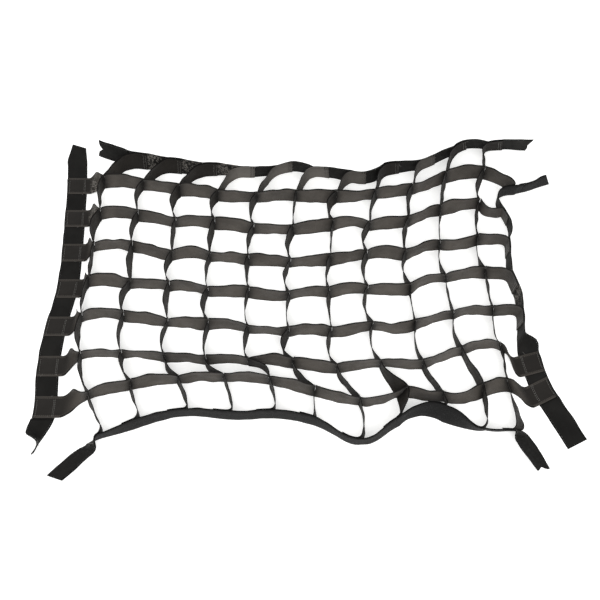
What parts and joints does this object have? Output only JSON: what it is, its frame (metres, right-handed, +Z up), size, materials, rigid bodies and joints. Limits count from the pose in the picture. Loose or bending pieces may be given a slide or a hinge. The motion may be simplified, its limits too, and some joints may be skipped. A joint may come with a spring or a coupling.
{
  "type": "fabric softbox grid",
  "caption": "Rumpled fabric egg-crate grid for a softbox: cloth strips on edge cross in slots inside a border with hook tape and free corner tails.",
  "frame": {"origin": "centre of the net's footprint, on the surface that it lies on", "axes": "+X along the rows, the long way; +Y along the columns, away from the front border; +Z up"},
  "size_m": [0.9318, 0.6762, 0.0402],
  "materials": {
    "strip_cloth": "satin woven nylon",
    "border_cloth": "matt woven nylon",
    "hook_tape": "hooked tape",
    "thread": "twisted polyester thread"
  },
  "bodies": {
    "root": {"row_strip_1": "strip_cloth", "row_strip_2": "strip_cloth", "row_strip_3": "strip_cloth", "row_strip_4": "strip_cloth", "row_strip_5": "strip_cloth", "row_strip_6": "strip_cloth", "row_strip_7": "strip_cloth", "column_strip_1": "strip_cloth", "column_strip_2": "strip_cloth", "column_strip_3": "strip_cloth", "column_strip_4": "strip_cloth", "column_strip_5": "strip_cloth", "column_strip_6": "strip_cloth", "column_strip_7": "strip_cloth", "column_strip_8": "strip_cloth", "column_strip_9": "strip_cloth", "column_strip_10": "strip_cloth", "column_strip_11": "strip_cloth", "border_left": "border_cloth", "border_back": "border_cloth", "border_right": "border_cloth", "border_front": "border_cloth", "hook_tape_left": "hook_tape", "hook_tape_back": "hook_tape", "hook_tape_right": "hook_tape", "hook_tape_front": "hook_tape", "crossing_tacks": "thread", "seam_threads_left": "thread", "seam_threads_back": "thread", "seam_threads_right": "thread", "seam_threads_front": "thread"},
    "left_front_tail": {"tail_left_front": "border_cloth", "tail_tape_left_front": "hook_tape"},
    "left_back_tail": {"tail_left_back": "border_cloth", "tail_tape_left_back": "hook_tape"},
    "back_left_tail": {"tail_back_left": "border_cloth", "tail_tape_back_left": "hook_tape"},
    "back_right_tail": {"tail_back_right": "border_cloth", "tail_tape_back_right": "hook_tape"},
    "right_back_tail": {"tail_right_back": "border_cloth", "tail_tape_right_back": "hook_tape"},
    "right_front_tail": {"tail_right_front": "border_cloth", "tail_tape_right_front": "hook_tape"},
    "front_right_tail": {"tail_front_right": "border_cloth", "tail_tape_front_right": "hook_tape"},
    "front_left_tail": {"tail_front_left": "border_cloth", "tail_tape_front_left": "hook_tape"}
  },
  "joints": [
    {"name": "left_front_tail_fold", "type": "hinge", "parent": "root", "child": "left_front_tail", "pos_m": [-0.4305, -0.244, 0.0019], "axis": [-1, 0, 0], "range_deg": [0, 120]},
    {"name": "left_back_tail_fold", "type": "hinge", "parent": "root", "child": "left_back_tail", "pos_m": [-0.4385, 0.263, 0.0019], "axis": [1, 0, 0], "range_deg": [0, 150]},
    {"name": "back_left_tail_fold", "type": "hinge", "parent": "root", "child": "back_left_tail", "pos_m": [-0.34469, 0.29406, 0.01935], "axis": [0.0526, 0.2895, 0.9557], "range_deg": [0, 60]},
    {"name": "back_right_tail_fold", "type": "hinge", "parent": "root", "child": "back_right_tail", "pos_m": [0.39148, 0.32738, 0.01975], "axis": [0.1579, 0.1579, -0.9747], "range_deg": [-90, 0]},
    {"name": "right_back_tail_fold", "type": "hinge", "parent": "root", "child": "right_back_tail", "pos_m": [0.41534, 0.22147, 0.0198], "axis": [0.0526, -0.1579, 0.9861], "range_deg": [0, 120]},
    {"name": "right_front_tail_fold", "type": "hinge", "parent": "root", "child": "right_front_tail", "pos_m": [0.40449, -0.2115, 0.0019], "axis": [-0.8944, -0.4472, 0], "range_deg": [0, 150]},
    {"name": "front_right_tail_fold", "type": "hinge", "parent": "root", "child": "front_right_tail", "pos_m": [0.34821, -0.27688, 0.01071], "axis": [-0.8684, -0.1579, 0.47], "range_deg": [0, 130]},
    {"name": "front_left_tail_fold", "type": "hinge", "parent": "root", "child": "front_left_tail", "pos_m": [-0.35167, -0.29679, 0.01109], "axis": [-0.7895, 0.3684, -0.4909], "range_deg": [0, 130]}
  ]
}
